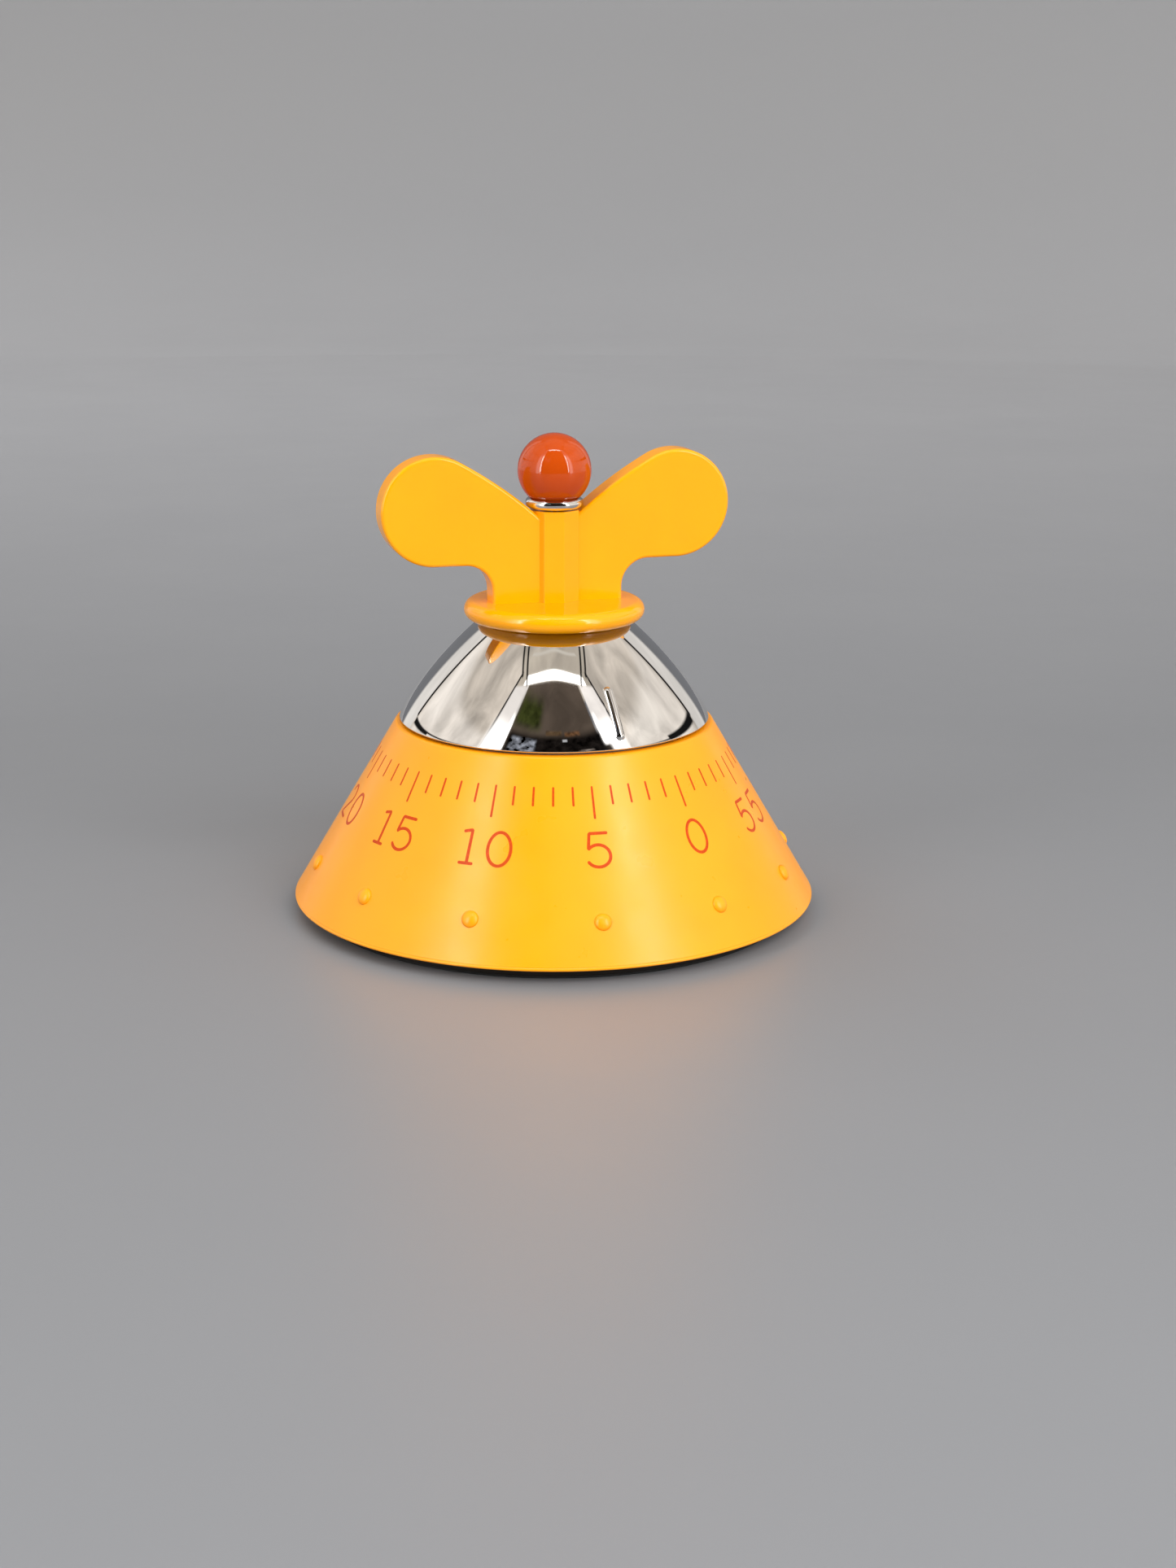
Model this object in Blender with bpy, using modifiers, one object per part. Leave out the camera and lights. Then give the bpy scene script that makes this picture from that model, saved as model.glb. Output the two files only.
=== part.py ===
"""A wind-up kitchen timer: yellow cone base with a clockwork inside, chrome dome, winged knob and ball.

Lengths in this script are millimetres, and the helper functions turn them into Blender's metres.
The origin is at the centre of the base, +Z is up, and the knob's wings lie along X.
"""

import math

import bmesh
import bpy
from mathutils import Matrix, Vector

MM = 0.001
GAP = 0.3
WELD = 0.00001

# Base: a cone with a narrow upright lip at its lower edge, open at the bottom, closed inside by a deck.
BASE_RADIUS = 54.0
BASE_WIDEST = 3.0
BASE_BOTTOM = 2.85
RIM_RADIUS = 32.55
RIM_HEIGHT = 39.44
RIM_INSIDE = 30.2
RIM_SHOULDER = 0.55
WALL = 2.55
DECK_LOW = 34.5
DECK_HIGH = 36.3
DECK_HOLE = 4.3
SCREW_PILOT = 1.25
CONE_STEPS = 48

# Scale: the first of the twelve dots, under the mark for minute 0, lies at this angle from +X.
DOT_ANGLE = -64.5
DOT_HEIGHT = 11.05
DOT_RADIUS = 1.7
DOT_RISE = 0.92

# Dome: a superellipse turned about the axis, cut flat under the knob.
DOME_RADIUS = 32.41
DOME_CENTRE = 38.28
DOME_RISE = 31.59
DOME_POWER = 1.30
DOME_LOW = 39.9
DOME_HIGH = 60.1
DOME_WALL = 1.2
INDEX_ANGLE = -80.5
INDEX_LOW = 42.4
INDEX_HIGH = 51.0
INDEX_RADIUS = 1.0
INDEX_SINK = 0.45

# Knob: a flange with a full-round rim and a small lip below, an eight-sided post, a plate cut into two wings.
FLANGE_RADIUS = 18.4
FLANGE_LOW = 60.45
FLANGE_HIGH = 64.35
FLANGE_LIP = (16.3, 59.8)
FLANGE_LIP_BACK = 15.75
POST_RADIUS = 5.3
POST_TOP = 82.8
POST_ANGLE = -105.0
WING_THICKNESS = 6.0
WING_EDGE = 0.7
LOBE_X = 25.15
LOBE_Z = 83.35
LOBE_RADIUS = 11.0
LOBE_SLOPE = 29.0
WING_CREST = 90.0
WING_ROOT_X = 3.0
NECK_X = 13.5
NECK_FILLET = 5.6
SPIGOT_RADIUS = 5.6
SPIGOT_LOW = 47.0
STUD_HOLE = 1.75
STUD_LOW = 58.3
ARBOR_SOCKET = 3.9

# Top: a ball that nests in a chrome collar.
BALL_RADIUS = 7.47
BALL_Z = 90.6
COLLAR_RADIUS = 4.85
COLLAR_TUBE = 1.05
COLLAR_INSIDE = 3.4

# Bottom: a cover screwed to three bosses, and a rubber ring that the timer stands on.
COVER_RADIUS = 50.5
COVER_LOW = 0.8
COVER_HIGH = 3.4
COVER_SCREW_CIRCLE = 43.5
COVER_SCREW_ANGLES = (30, 150, 270)
FOOT_OUTSIDE = 49.4
FOOT_INSIDE = 46.8
FOOT_HIGH = 0.5

# Clockwork: two plates, with every arbor standing between them.
PLATE_RADIUS = 31.0
PLATE_THICKNESS = 1.2
LOWER_PLATE = 12.0
UPPER_PLATE = 31.0
PILLAR_CIRCLE = 28.0
PILLAR_ANGLES = (45, 135, 225, 315)
PLATE_SCREW_CIRCLE = 27.5
PLATE_SCREW_ANGLES = (90, 210, 330)
ARBOR_RADIUS = 2.0

# Going train: three pairs of 48-tooth wheel and 8-leaf pinion, from the dial to the escape wheel.
WHEEL_TEETH = 48
PINION_TEETH = 8
MODULES = (0.6, 0.5, 0.45)
SECOND_CIRCLE, SECOND_ANGLE = 16.8, 200.0
THIRD_CIRCLE, THIRD_ANGLE = 16.0, 250.46
ESCAPE_CIRCLE, ESCAPE_ANGLE = 18.0, 293.48
ANCHOR_CIRCLE, ANCHOR_ANGLE = 17.0, 320.0
BALANCE_CIRCLE, BALANCE_ANGLE = 17.0, 350.0
HAMMER_CIRCLE, HAMMER_ANGLE = 26.0, 160.0
ESCAPE_TEETH = 15
ESCAPE_RADIUS = 5.0

for old in list(bpy.data.objects):
    bpy.data.objects.remove(old)


def new_collection(name):
    collection = bpy.data.collections.new(name)
    bpy.context.scene.collection.children.link(collection)
    return collection


timer = new_collection("kitchen_timer")
tools = new_collection("cutters_and_fillers")


def new_material(name, color, roughness, metallic=0.0):
    made = bpy.data.materials.new(name)
    made.use_nodes = True
    shader = made.node_tree.nodes["Principled BSDF"]
    shader.inputs["Base Color"].default_value = (*color, 1.0)
    shader.inputs["Roughness"].default_value = roughness
    shader.inputs["Metallic"].default_value = metallic
    made.diffuse_color = (*color, 1.0)
    return made


YELLOW = new_material("yellow_plastic", (1.0, 0.53, 0.03), 0.35)
ORANGE = new_material("orange_plastic", (0.80, 0.10, 0.03), 0.12)
DARK = new_material("dark_plastic", (0.03, 0.03, 0.03), 0.5)
GREY = new_material("grey_plastic", (0.55, 0.55, 0.53), 0.45)
RUBBER = new_material("black_rubber", (0.02, 0.02, 0.02), 0.8)
CHROME = new_material("chrome", (0.85, 0.85, 0.86), 0.04, 1.0)
STEEL = new_material("bright_steel", (0.60, 0.60, 0.62), 0.28, 1.0)
BLUED = new_material("blued_spring_steel", (0.10, 0.13, 0.22), 0.3, 1.0)
BRASS = new_material("brass", (0.78, 0.57, 0.25), 0.3, 1.0)


def polar(radius, degrees):
    """The (x, y) point at a radius and an angle from +X."""
    return (radius * math.cos(math.radians(degrees)), radius * math.sin(math.radians(degrees)))


def axis_empty(name, at):
    """An empty on an upright axis, which carries the pieces that turn about it."""
    empty = bpy.data.objects.new(name, None)
    empty.location = (at[0] * MM, at[1] * MM, 0)
    timer.objects.link(empty)
    return empty


def add_piece(name, data, material, location=(0, 0, 0), parent=None):
    piece = bpy.data.objects.new(name, data)
    piece.location = Vector(location) * MM
    piece.parent = parent
    data.materials.append(material)
    timer.objects.link(piece)
    return piece


def turned(name, profile, material, steps=24, parent=None, at=(0, 0), ring=False):
    """A turned piece from (radius, height) points, which run down its outer side from top to bottom.

    A ring's profile closes on itself. Any other profile starts and ends on the axis.
    """
    mesh = bpy.data.meshes.new(name)
    points = [(radius * MM, 0, height * MM) for radius, height in profile]
    edges = [(i, i + 1) for i in range(len(points) - 1)]
    if ring:
        edges.append((len(points) - 1, 0))
    mesh.from_pydata(points, edges, [])
    piece = add_piece(name, mesh, material, (*at, 0), parent)
    screw = piece.modifiers.new("turn", "SCREW")
    screw.steps = screw.render_steps = steps
    screw.use_merge_vertices = True
    screw.merge_threshold = WELD
    screw.use_smooth_shade = True
    return piece


def rod(name, radius, low, high, material, steps=12, parent=None, at=(0, 0)):
    return turned(name, [(0, high), (radius, high), (radius, low), (0, low)], material, steps, parent, at)


def sleeve(name, inside, outside, low, high, material, steps=24, parent=None, at=(0, 0)):
    profile = [(inside, high), (outside, high), (outside, low), (inside, low)]
    return turned(name, profile, material, steps, parent, at, ring=True)


def flat(name, outlines, low, high, material, parent=None):
    """A flat piece between two heights: its outline first, then its holes, as lists of (x, y) points."""
    curve = bpy.data.curves.new(name, "CURVE")
    curve.dimensions = "2D"
    curve.fill_mode = "BOTH"
    curve.extrude = (high - low) / 2 * MM
    for outline in outlines:
        spline = curve.splines.new("POLY")
        spline.points.add(len(outline) - 1)
        for point, (x, y) in zip(spline.points, outline):
            point.co = (x * MM, y * MM, 0, 1)
        spline.use_cyclic_u = True
    return add_piece(name, curve, material, (0, 0, (low + high) / 2), parent)


def slab(name, outline, half, material):
    """A plate between y = -half and half, from its (x, z) outline, which runs anticlockwise seen from -Y."""
    count = len(outline)
    points = [(x * MM, side * half * MM, z * MM) for side in (-1, 1) for x, z in outline]
    faces = [tuple(range(count)), tuple(range(2 * count - 1, count - 1, -1))]
    for k in range(count):
        after = (k + 1) % count
        faces.append((k, count + k, count + after, after))
    mesh = bpy.data.meshes.new(name)
    mesh.from_pydata(points, [], faces)
    return add_piece(name, mesh, material)


def to_mesh(piece):
    """Turns a curve object into a welded mesh object, so that it can take or be a Boolean."""
    bpy.context.view_layer.update()
    graph = bpy.context.evaluated_depsgraph_get()
    mesh = bpy.data.meshes.new_from_object(piece.evaluated_get(graph))
    work = bmesh.new()
    work.from_mesh(mesh)
    bmesh.ops.remove_doubles(work, verts=work.verts, dist=WELD)
    work.to_mesh(mesh)
    work.free()
    name, parent, place = piece.name, piece.parent, piece.matrix_world.copy()
    bpy.data.objects.remove(piece)
    solid = bpy.data.objects.new(name, mesh)
    timer.objects.link(solid)
    solid.parent = parent
    solid.matrix_world = place
    return solid


def combine(piece, tool, operation):
    """Joins or cuts a piece with a tool object, which is then hidden.

    The exact solver loses faces where the bevelled wings meet the flange. All the meshes here are closed,
    which is what the manifold solver needs.
    """
    modifier = piece.modifiers.new(tool.name, "BOOLEAN")
    modifier.solver = "MANIFOLD"
    modifier.operation = operation
    modifier.object = tool
    tool.hide_render = True
    tool.display_type = "WIRE"
    timer.objects.unlink(tool)
    tools.objects.link(tool)


def join(piece, tool):
    combine(piece, tool, "UNION")


def cut(piece, tool):
    combine(piece, tool, "DIFFERENCE")


def circle(radius, at=(0, 0), points=12):
    turn = 360 / points
    return [(at[0] + x, at[1] + y) for x, y in (polar(radius, k * turn) for k in range(points))]


def arc(centre, radius, start, end, points):
    """Points on an arc from one angle to another, both included."""
    step = (end - start) / (points - 1)
    return [(centre[0] + x, centre[1] + y)
            for x, y in (polar(radius, start + k * step) for k in range(points))]


def window(inside, outside, start, end, points=4):
    """A hole between two radii and two angles, such as one between the spokes of a wheel."""
    return arc((0, 0), outside, start, end, points) + arc((0, 0), inside, end, start, points)


def gear_outline(teeth, module, phase):
    """A spur gear's outline, one tooth on the angle phase. The thin teeth leave room to run."""
    pitch = teeth * module / 2
    stations = [(-1.1, -1.25), (0.75, -0.5), (0.75, 0.5), (-1.1, 1.25)]
    half_tooth = 0.40 * 180 / teeth
    return [polar(pitch + rise * module, phase + k * 360 / teeth + side * half_tooth)
            for k in range(teeth) for rise, side in stations]


def spiral(name, inner, outer, turns, width, low, high, material, start=0.0, per_turn=20, parent=None):
    """A flat spiral spring: a strip of even width that winds outwards."""
    count = int(turns * per_turn)
    middle = [(inner + (outer - inner) * k / count, start + 360 * k / per_turn) for k in range(count + 1)]
    outward = [polar(radius + width / 2, angle) for radius, angle in middle]
    inward = [polar(radius - width / 2, angle) for radius, angle in reversed(middle)]
    return flat(name, [outward + inward], low, high, material, parent)


def cone_radius(height):
    """The cone's outer radius at a height."""
    slope = (BASE_RADIUS - RIM_RADIUS) / (RIM_HEIGHT - BASE_WIDEST)
    return BASE_RADIUS - slope * (height - BASE_WIDEST)


def dome_radius(height):
    """The dome's outer radius at a height."""
    level = (height - DOME_CENTRE) / DOME_RISE
    return DOME_RADIUS * (1 - level ** DOME_POWER) ** (1 / DOME_POWER)


def plate_screw(name, head, low, neck, high, shank, at):
    """A screw whose head is below: head from low to neck, shank from neck to high."""
    profile = [(0, high), (shank, high), (shank, neck), (head, neck), (head, low), (0, low)]
    return turned(name, profile, STEEL, 12, at=at)


# ---- Base ----


def make_base_shell():
    shoulder = RIM_HEIGHT - RIM_SHOULDER
    outside = [(RIM_INSIDE, RIM_HEIGHT), (RIM_RADIUS - RIM_SHOULDER, RIM_HEIGHT),
               (cone_radius(shoulder), shoulder), (BASE_RADIUS, BASE_WIDEST),
               (BASE_RADIUS, BASE_BOTTOM), (BASE_RADIUS - WALL, BASE_BOTTOM)]
    inside = [(BASE_RADIUS - WALL, BASE_WIDEST), (cone_radius(DECK_LOW) - WALL, DECK_LOW),
              (DECK_HOLE, DECK_LOW), (DECK_HOLE, DECK_HIGH), (RIM_INSIDE, DECK_HIGH)]
    shell = turned("base_shell", outside + inside, YELLOW, CONE_STEPS, ring=True)
    for angle in COVER_SCREW_ANGLES:
        at = polar(COVER_SCREW_CIRCLE, angle)
        join(shell, rod(f"cover_boss_{angle}", 3.2, COVER_HIGH + GAP, 14.5, YELLOW, at=at))
        cut(shell, rod(f"cover_boss_hole_{angle}", SCREW_PILOT, COVER_HIGH, 12.0, YELLOW, at=at))
    for angle in PLATE_SCREW_ANGLES:
        at = polar(PLATE_SCREW_CIRCLE, angle)
        join(shell, rod(f"deck_boss_{angle}", 2.6, 32.5, DECK_LOW + 0.5, YELLOW, at=at))
        cut(shell, rod(f"deck_boss_hole_{angle}", SCREW_PILOT, 31.8, DECK_HIGH - 0.8, YELLOW, at=at))
    lean = math.atan2(BASE_RADIUS - RIM_RADIUS, RIM_HEIGHT - BASE_WIDEST)
    for k in range(12):
        join(shell, make_dot(k, DOT_ANGLE - 30 * k, lean))


def make_dot(number, angle, lean):
    """A low round dot that stands on the cone, squeezed along the cone's normal."""
    mesh = bpy.data.meshes.new(f"dot_{number}")
    ball = bmesh.new()
    squeeze = Matrix.Diagonal((DOT_RADIUS * MM, DOT_RADIUS * MM, DOT_RISE * MM, 1))
    bmesh.ops.create_uvsphere(ball, u_segments=8, v_segments=4, radius=1, matrix=squeeze)
    ball.to_mesh(mesh)
    ball.free()
    dot = add_piece(f"dot_{number}", mesh, YELLOW)
    x, y = polar(cone_radius(DOT_HEIGHT), angle)
    dot.location = Vector((x, y, DOT_HEIGHT)) * MM
    dot.rotation_euler = (0, math.pi / 2 - lean, math.radians(angle))
    return dot


def make_bottom():
    profile = [(0, COVER_HIGH), (COVER_RADIUS, COVER_HIGH), (COVER_RADIUS, COVER_LOW), (0, COVER_LOW)]
    cover = turned("base_cover", profile, DARK, 40)
    for number, angle in enumerate(COVER_SCREW_ANGLES, 1):
        at = polar(COVER_SCREW_CIRCLE, angle)
        stepped = [(0, 4.0), (1.3, 4.0), (1.3, 1.9), (2.6, 1.9), (2.6, 0.5), (0, 0.5)]
        cut(cover, turned(f"cover_hole_{angle}", stepped, DARK, 12, at=at))
        plate_screw(f"cover_screw_{number}", 2.25, 1.0, 1.6, 11.0, 0.95, at)
    sleeve("foot_ring", FOOT_INSIDE, FOOT_OUTSIDE, 0, FOOT_HIGH, RUBBER, 40)
    sleeve("bell_post", 1.2, 3.0, COVER_HIGH + GAP, 4.9, BRASS, 12)
    cut(cover, rod("bell_screw_hole", 1.2, 2.0, COVER_HIGH + 0.5, DARK))


def make_bell():
    outside = [(22.0, 10.8), (21.2, 7.6), (18.0, 5.6), (13.5, 5.2), (1.3, 5.2)]
    inside = [(1.3, 6.0), (13.4, 6.0), (17.6, 6.4), (20.4, 8.0), (21.2, 10.8)]
    turned("bell", outside + inside, STEEL, 28, ring=True)
    profile = [(0, 7.6), (2.6, 7.6), (2.6, 6.3), (0.9, 6.3), (0.9, 2.4), (0, 2.4)]
    turned("bell_screw", profile, STEEL, 12)


# ---- Clockwork frame ----


def arbor_places():
    """Where the five thin arbors stand."""
    return [polar(SECOND_CIRCLE, SECOND_ANGLE), polar(THIRD_CIRCLE, THIRD_ANGLE),
            polar(ESCAPE_CIRCLE, ESCAPE_ANGLE), polar(ANCHOR_CIRCLE, ANCHOR_ANGLE),
            polar(BALANCE_CIRCLE, BALANCE_ANGLE)]


def make_plates():
    pivots = [circle(0.75, at, 8) for at in arbor_places()]
    hammer = polar(HAMMER_CIRCLE, HAMMER_ANGLE)
    outline = circle(PLATE_RADIUS, points=36)
    lower = [outline, circle(1.3), circle(1.15, hammer, 8)] + pivots
    flat("bottom_plate", lower, LOWER_PLATE, LOWER_PLATE + PLATE_THICKNESS, STEEL)
    screws = [circle(1.3, polar(PLATE_SCREW_CIRCLE, a), 10) for a in PLATE_SCREW_ANGLES]
    upper = [outline, circle(ARBOR_RADIUS + GAP, points=16), circle(0.75, hammer, 8)] + pivots + screws
    flat("top_plate", upper, UPPER_PLATE, UPPER_PLATE + PLATE_THICKNESS, STEEL)
    floor, ceiling = LOWER_PLATE + PLATE_THICKNESS + GAP, UPPER_PLATE - GAP
    for number, angle in enumerate(PILLAR_ANGLES, 1):
        rod(f"plate_pillar_{number}", 1.7, floor, ceiling, BRASS, at=polar(PILLAR_CIRCLE, angle))
    for number, angle in enumerate(PLATE_SCREW_ANGLES, 1):
        at = polar(PLATE_SCREW_CIRCLE, angle)
        plate_screw(f"movement_screw_{number}", 2.3, 28.9, ceiling, 35.0, 0.95, at)
    bush = [(ARBOR_RADIUS + GAP, 37.2), (6.0, 37.2), (6.0, DECK_HIGH + GAP), (4.0, DECK_HIGH + GAP),
            (4.0, 33.6), (ARBOR_RADIUS + GAP, 33.6)]
    turned("arbor_bush", bush, BRASS, 20, ring=True)
    spiral("mainspring", 2.9, 11.6, 4, 0.45, 14.2, 19.2, BLUED, start=90, per_turn=16)
    rod("spring_post", 0.9, floor, 20.0, STEEL, 10, at=polar(13.4, 90))


# ---- Pieces that turn with the knob ----


def make_dome(dial):
    heights = [DOME_LOW + (DOME_HIGH - DOME_LOW) * k / 6 for k in range(7)]
    outside = [(dome_radius(z), z) for z in reversed(heights)]
    inside = [(dome_radius(z + 0.35) - DOME_WALL, z) for z in heights[:-1]]
    top = DOME_HIGH - DOME_WALL
    crown = [(dome_radius(top + 0.35) - DOME_WALL, top), (6.0, top), (6.0, DOME_HIGH)]
    dome = turned("dome", outside + inside + crown, CHROME, 40, dial, ring=True)
    count = 4
    route = []
    for k in range(count):
        height = INDEX_LOW + (INDEX_HIGH - INDEX_LOW) * k / (count - 1)
        x, y = polar(dome_radius(height) - INDEX_SINK, INDEX_ANGLE)
        route.append((x, y, height))
    join(dome, to_mesh(wire("index_mark", route, INDEX_RADIUS, CHROME)))


def wire(name, route, radius, material, parent=None):
    """A round wire through a list of (x, y, z) points, with filled ends."""
    curve = bpy.data.curves.new(name, "CURVE")
    curve.dimensions = "3D"
    curve.bevel_depth = radius * MM
    curve.bevel_resolution = 2
    curve.use_fill_caps = True
    spline = curve.splines.new("POLY")
    spline.points.add(len(route) - 1)
    for point, place in zip(spline.points, route):
        point.co = (*(Vector(place) * MM), 1)
    return add_piece(name, curve, material, parent=parent)


def wing_outline():
    """Both wings as one outline in (x, z): neck, fillet, round lobe, then a long crest down to the post."""
    fillet = (NECK_X + NECK_FILLET, LOBE_Z - LOBE_RADIUS - NECK_FILLET)
    foot = FLANGE_HIGH - 1.0
    lobe = arc((LOBE_X, LOBE_Z), LOBE_RADIUS, -90, 90 + LOBE_SLOPE, 13)
    crest_x, crest_z = lobe[-1]
    back_x, back_z = polar(WING_CREST, 90 + LOBE_SLOPE)
    steepest = math.sin(math.radians(LOBE_SLOPE)) + (crest_x - WING_ROOT_X) / WING_CREST
    end = 90 + math.degrees(math.asin(steepest))
    crest = arc((crest_x - back_x, crest_z - back_z), WING_CREST, 90 + LOBE_SLOPE, end, 5)
    right = [(NECK_X, foot)] + arc(fillet, NECK_FILLET, 180, 90, 4) + lobe + crest[1:]
    return right + [(-x, z) for x, z in reversed(right)]


def make_knob(dial):
    rim = (FLANGE_HIGH - FLANGE_LOW) / 2
    middle = (FLANGE_HIGH + FLANGE_LOW) / 2
    edge = arc((FLANGE_RADIUS - rim, middle), rim, 90, -90, 6)
    below = [FLANGE_LIP, (FLANGE_LIP_BACK, FLANGE_LOW), (SPIGOT_RADIUS, FLANGE_LOW)]
    profile = [(0, FLANGE_HIGH)] + edge + below + [(SPIGOT_RADIUS, SPIGOT_LOW), (0, SPIGOT_LOW)]
    knob = turned("knob", profile, YELLOW, 32, dial)
    plate = slab("wings", wing_outline(), WING_THICKNESS / 2, YELLOW)
    edges = plate.modifiers.new("soft_edges", "BEVEL")
    edges.width = WING_EDGE * MM
    edges.limit_method = "ANGLE"
    edges.angle_limit = math.radians(60)
    join(knob, plate)
    post = rod("post", POST_RADIUS, FLANGE_HIGH - 1.5, POST_TOP, YELLOW, 8)
    post.rotation_euler = (0, 0, math.radians(POST_ANGLE + 22.5))
    join(knob, post)
    cut(knob, rod("stud_hole", STUD_HOLE, 57.3, POST_TOP + 1, YELLOW, 12))
    socket = rod("arbor_socket", ARBOR_SOCKET / math.sqrt(2), SPIGOT_LOW - 1, 57.6, YELLOW, 4)
    cut(knob, socket)


def make_finial(dial):
    low = POST_TOP + GAP
    tube = arc((COLLAR_RADIUS, low + COLLAR_TUBE), COLLAR_TUBE, 60, -90, 6)
    seat = [(radius, BALL_Z - math.sqrt((BALL_RADIUS + GAP) ** 2 - radius ** 2))
            for radius in (COLLAR_INSIDE, COLLAR_INSIDE + 1)]
    turned("collar_ring", tube + [(COLLAR_INSIDE, low)] + seat, CHROME, 20, dial, ring=True)
    mesh = bpy.data.meshes.new("ball")
    ball = bmesh.new()
    bmesh.ops.create_uvsphere(ball, u_segments=20, v_segments=12, radius=BALL_RADIUS * MM)
    ball.to_mesh(mesh)
    ball.free()
    mesh.shade_smooth()
    finial = add_piece("ball_finial", mesh, ORANGE, (0, 0, BALL_Z), dial)
    cut(finial, rod("ball_hole", STUD_HOLE, BALL_Z - 9, BALL_Z + 0.5, ORANGE, 12))
    rod("finial_stud", 1.4, STUD_LOW, BALL_Z, STEEL, 12, dial)


def make_carrier(dial):
    profile = [(6.0, DOME_HIGH - DOME_WALL - GAP), (9.0, DOME_HIGH - DOME_WALL - GAP), (9.0, 39.8),
               (26.0, 39.8), (26.0, 43.4), (27.5, 43.4), (27.5, 39.6), (29.0, 39.6), (29.0, 38.0), (6.0, 38.0)]
    turned("dome_carrier", profile, GREY, 28, dial, ring=True)


def make_winding_arbor(dial):
    pivot, shoulder, square_low, square_high = 12.1, LOWER_PLATE + PLATE_THICKNESS + GAP, 45.0, 56.8
    profile = [(0, square_low + 1), (ARBOR_RADIUS, square_low + 1), (ARBOR_RADIUS, shoulder),
               (1.0, shoulder), (1.0, pivot), (0, pivot)]
    arbor = turned("winding_arbor", profile, STEEL, 16, dial)
    square = rod("arbor_square", 3.3 / math.sqrt(2), square_low, square_high, STEEL, 4)
    join(arbor, square)
    hole = circle(ARBOR_RADIUS + GAP, points=16)
    phase = SECOND_ANGLE
    spokes = [window(5.5, 11.0, a + 12, a + 78) for a in (0, 90, 180, 270)]
    teeth = gear_outline(WHEEL_TEETH, MODULES[0], phase)
    flat("great_wheel", [teeth, hole] + spokes, 21.0, 22.5, BRASS, dial)
    star = [polar(4.2 + 1.4 * math.cos(math.radians(45 * k)), 15 * k) for k in range(24)]
    flat("clutch_spring", [star, hole], 22.9, 23.3, BLUED, dial)
    notch = arc((0, 0), 5.0, 200, 500, 18) + [polar(3.6, 145), polar(3.6, 170)]
    flat("trip_cam", [notch, hole], 28.9, 30.2, STEEL, dial)
    sleeve("arbor_clip", ARBOR_RADIUS + GAP, 4.0, 32.6, 33.2, BLUED, 16, dial)


# ---- Going train ----


def make_arbor(name, parent, pinion=None, radius=1.0, low=None):
    """An arbor with a pivot at each end and, where pinion is given, leaves cut into it."""
    floor, ceiling = LOWER_PLATE + PLATE_THICKNESS + GAP, UPPER_PLATE - GAP
    tip = 0.5
    profile = [(0, UPPER_PLATE + 1.0), (tip, UPPER_PLATE + 1.0), (tip, ceiling), (radius, ceiling)]
    if low is None:
        profile += [(radius, floor), (tip, floor), (tip, LOWER_PLATE + 0.2), (0, LOWER_PLATE + 0.2)]
    else:
        profile += [(radius, low), (0, low)]
    arbor = turned(name, profile, STEEL, 10)
    arbor.parent = parent
    if pinion:
        module, phase, bottom, top = pinion
        leaves = to_mesh(flat(name + "_leaves", [gear_outline(PINION_TEETH, module, phase)],
                              bottom, top, STEEL, parent))
        join(arbor, leaves)


def direction(start, end):
    return math.degrees(math.atan2(end[1] - start[1], end[0] - start[0]))


def half_leaf(angle):
    """The phase that puts a gap between two pinion leaves on the angle."""
    return angle + 180 / PINION_TEETH


def make_train():
    centre = (0, 0)
    second, third, escape, anchor, balance = arbor_places()
    hole = circle(1.3)

    axis = axis_empty("second_axis", second)
    make_arbor("second_arbor", axis, (MODULES[0], half_leaf(direction(second, centre)), 20.4, 23.2))
    teeth = gear_outline(WHEEL_TEETH, MODULES[1], direction(second, third))
    spokes = [window(4.0, 9.0, a + 14, a + 76) for a in (0, 90, 180, 270)]
    flat("second_wheel", [teeth, hole] + spokes, 24.5, 25.5, BRASS, axis)
    star = [polar(4.0 if k % 2 else 2.7, 22.5 * k) for k in range(16)]
    flat("hammer_star", [star, hole], 28.9, 29.9, STEEL, axis)

    axis = axis_empty("third_axis", third)
    make_arbor("third_arbor", axis, (MODULES[1], half_leaf(direction(third, second)), 24.0, 26.1))
    teeth = gear_outline(WHEEL_TEETH, MODULES[2], direction(third, escape))
    spokes = [window(3.6, 8.2, a + 14, a + 76) for a in (0, 90, 180, 270)]
    flat("third_wheel", [teeth, hole] + spokes, 27.3, 28.1, BRASS, axis)

    axis = axis_empty("escape_axis", escape)
    leaves = (MODULES[2], half_leaf(direction(escape, third)), 26.8, 28.6)
    make_arbor("escape_arbor", axis, leaves, radius=0.8)
    step = 360 / ESCAPE_TEETH
    points = [(ESCAPE_RADIUS - 1.4, 0), (ESCAPE_RADIUS, 0.35), (ESCAPE_RADIUS, 0.45)]
    teeth = [polar(radius, (k + part) * step) for k in range(ESCAPE_TEETH) for radius, part in points]
    flat("escape_wheel", [teeth, circle(1.1, points=10)], 17.0, 17.8, BRASS, axis)

    make_anchor(anchor, escape, balance)
    make_balance(balance)


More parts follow.
